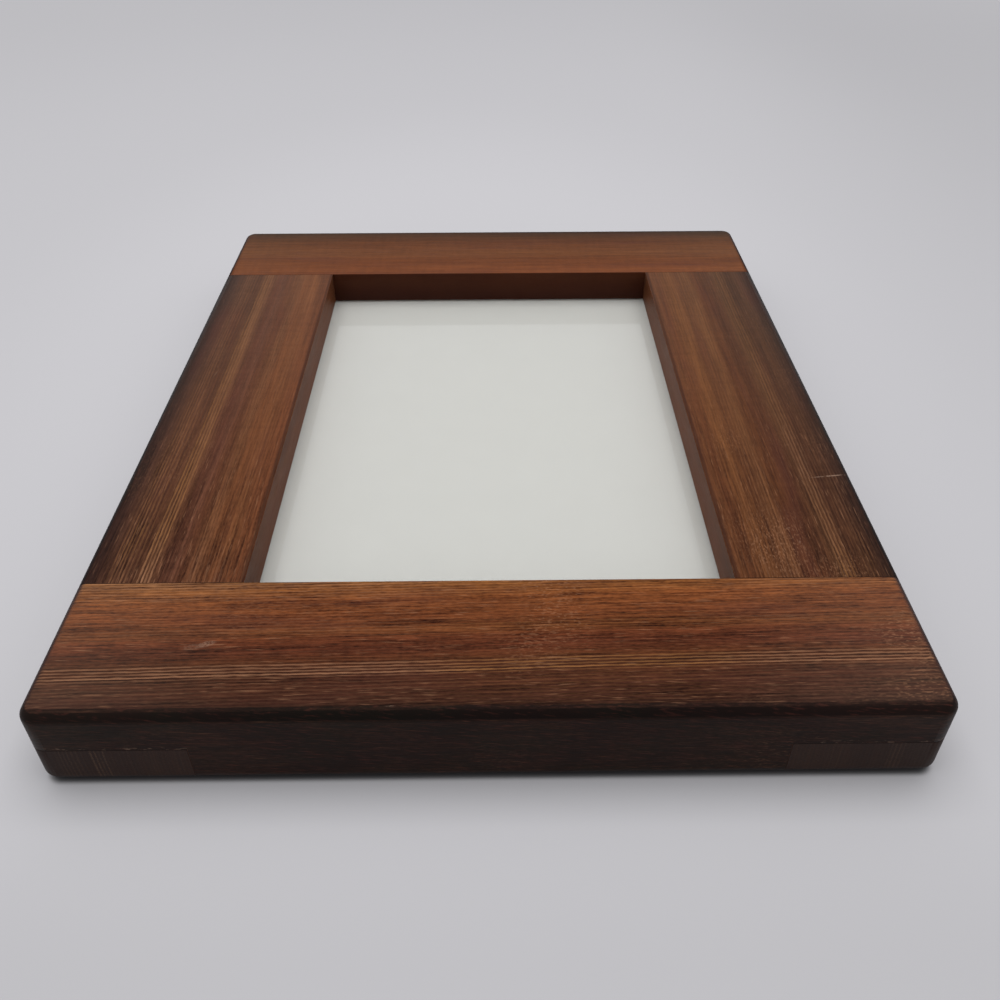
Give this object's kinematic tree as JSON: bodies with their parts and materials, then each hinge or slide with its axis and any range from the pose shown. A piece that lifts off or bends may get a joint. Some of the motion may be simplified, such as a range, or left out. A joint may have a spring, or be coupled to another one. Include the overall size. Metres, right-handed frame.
{
  "type": "wooden picture frame",
  "caption": "Half-lapped reddish-brown wooden picture frame with glass, a blank card, a backing board held by turn buttons, and a flush keyhole hanger.",
  "frame": {"origin": "centre of the back face, on the surface that the frame lies on", "axes": "+Z out of the frame's front, +Y to the top of the picture, +X to its right as seen from the front"},
  "size_m": [0.2, 0.25, 0.022],
  "materials": {
    "frame_wood": "straight-grained reddish-brown softwood under a thin satin oil, near black towards the outer arrises",
    "clear_glass": "clear float glass with cut edges",
    "white_card": "smooth matt card, blank",
    "grey_board": "grey pulp board",
    "hardboard": "brown hardboard, smooth side out",
    "zinc_steel": "bright zinc plate on pressed steel"
  },
  "bodies": {
    "frame": {"top_rail": "frame_wood", "bottom_rail": "frame_wood", "left_stile": "frame_wood", "right_stile": "frame_wood", "glass_pane": "clear_glass", "picture_card": "white_card", "filler_card": "grey_board", "backing_board": "hardboard", "button_screw_top_left": "zinc_steel", "button_screw_top_right": "zinc_steel", "button_screw_bottom_left": "zinc_steel", "button_screw_bottom_right": "zinc_steel", "hanger_plate": "zinc_steel", "hanger_screw_left": "zinc_steel", "hanger_screw_right": "zinc_steel"},
    "button_top_left": {"turn_button_top_left": "zinc_steel"},
    "button_top_right": {"turn_button_top_right": "zinc_steel"},
    "button_bottom_left": {"turn_button_bottom_left": "zinc_steel"},
    "button_bottom_right": {"turn_button_bottom_right": "zinc_steel"}
  },
  "joints": [
    {"name": "turn_top_left", "type": "hinge", "parent": "frame", "child": "button_top_left", "pos_m": [-0.0735, 0.05, 0.003], "axis": [0, 0, 1], "continuous": true},
    {"name": "turn_top_right", "type": "hinge", "parent": "frame", "child": "button_top_right", "pos_m": [0.0735, 0.05, 0.003], "axis": [0, 0, 1], "continuous": true},
    {"name": "turn_bottom_left", "type": "hinge", "parent": "frame", "child": "button_bottom_left", "pos_m": [-0.0735, -0.05, 0.003], "axis": [0, 0, 1], "continuous": true},
    {"name": "turn_bottom_right", "type": "hinge", "parent": "frame", "child": "button_bottom_right", "pos_m": [0.0735, -0.05, 0.003], "axis": [0, 0, 1], "continuous": true}
  ]
}
